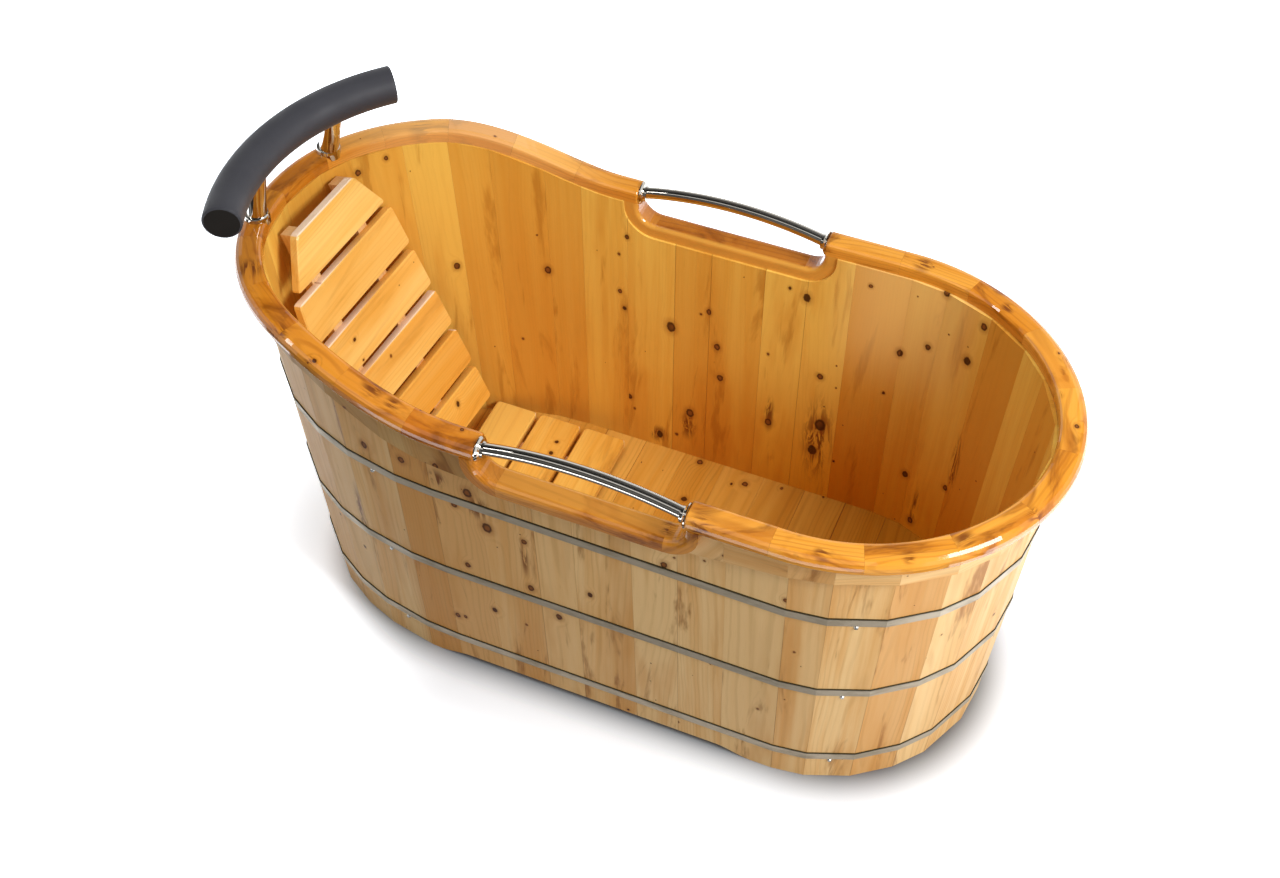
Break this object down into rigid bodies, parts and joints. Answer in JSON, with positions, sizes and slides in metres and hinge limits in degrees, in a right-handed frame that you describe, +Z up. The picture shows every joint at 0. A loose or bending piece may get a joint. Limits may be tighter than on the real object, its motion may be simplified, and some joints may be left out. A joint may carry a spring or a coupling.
{
  "type": "wooden bathtub",
  "caption": "Oval coopered wooden bathtub with steel hoops, grab bars over rim notches, foam headrest, slatted backrest and slatted seat.",
  "frame": {"origin": "on the floor under the middle of the tub's bounding box", "axes": "+X towards the foot end, +Y towards the far long side, +Z up"},
  "size_m": [1.5, 0.725, 0.9545],
  "materials": {
    "stave_wood": "knotty cedar, clear lacquer",
    "apron_wood": "knotty cedar, clear lacquer",
    "rim_wood": "cedar, glossy lacquer",
    "floor_wood": "cedar, lacquer",
    "slat_wood": "cedar, satin lacquer",
    "batten_wood": "cedar, satin",
    "hoop_steel": "dull brushed band",
    "screw_steel": "plain",
    "chrome": "polished",
    "foam": "matte black foam skin",
    "gasket_rubber": "matte"
  },
  "bodies": {
    "tub": {"stave_pair_01": "stave_wood", "stave_pair_02": "stave_wood", "stave_pair_03": "stave_wood", "stave_pair_04": "stave_wood", "stave_pair_05": "stave_wood", "stave_pair_06": "stave_wood", "stave_pair_07": "stave_wood", "stave_pair_08": "stave_wood", "stave_pair_09": "stave_wood", "stave_pair_10": "stave_wood", "stave_pair_11": "stave_wood", "stave_pair_12": "stave_wood", "stave_pair_13": "stave_wood", "stave_pair_14": "stave_wood", "stave_pair_15": "stave_wood", "stave_pair_16": "stave_wood", "stave_pair_17": "stave_wood", "stave_pair_18": "stave_wood", "stave_pair_19": "stave_wood", "stave_pair_20": "stave_wood", "apron_boards": "apron_wood", "rim_head": "rim_wood", "rim_foot": "rim_wood", "notch_sills": "rim_wood", "notch_corners": "rim_wood", "hoop_bottom": "hoop_steel", "hoop_middle": "hoop_steel", "hoop_top": "hoop_steel", "hoop_screws": "screw_steel", "floor_boards": "floor_wood", "floor_battens": "batten_wood", "floor_screws": "screw_steel", "grab_bar_far": "chrome", "grab_bar_near": "chrome", "grab_flanges": "chrome", "grab_studs": "screw_steel", "headrest_roll": "foam", "headrest_tube": "screw_steel", "headrest_posts": "chrome", "headrest_collars": "chrome", "headrest_studs": "screw_steel", "drain_flange": "chrome", "drain_gasket": "gasket_rubber", "drain_tailpiece": "chrome", "drain_locknut": "chrome"},
    "backrest": {"backrest_slats": "slat_wood", "backrest_battens": "batten_wood", "backrest_screws": "screw_steel"},
    "seat": {"seat_slats": "slat_wood", "seat_battens": "batten_wood", "seat_screws": "screw_steel"},
    "stopper": {"drain_stopper": "chrome"}
  },
  "joints": [
    {"name": "backrest_lift", "type": "slide", "parent": "tub", "child": "backrest", "axis": [0.4226, 0, 0.9063], "range_m": [0, 0.95]},
    {"name": "seat_lift", "type": "slide", "parent": "tub", "child": "seat", "axis": [0.1736, 0, 0.9848], "range_m": [0, 0.74]},
    {"name": "stopper_lift", "type": "slide", "parent": "tub", "child": "stopper", "axis": [0, 0, 1], "range_m": [0, 0.05]}
  ]
}
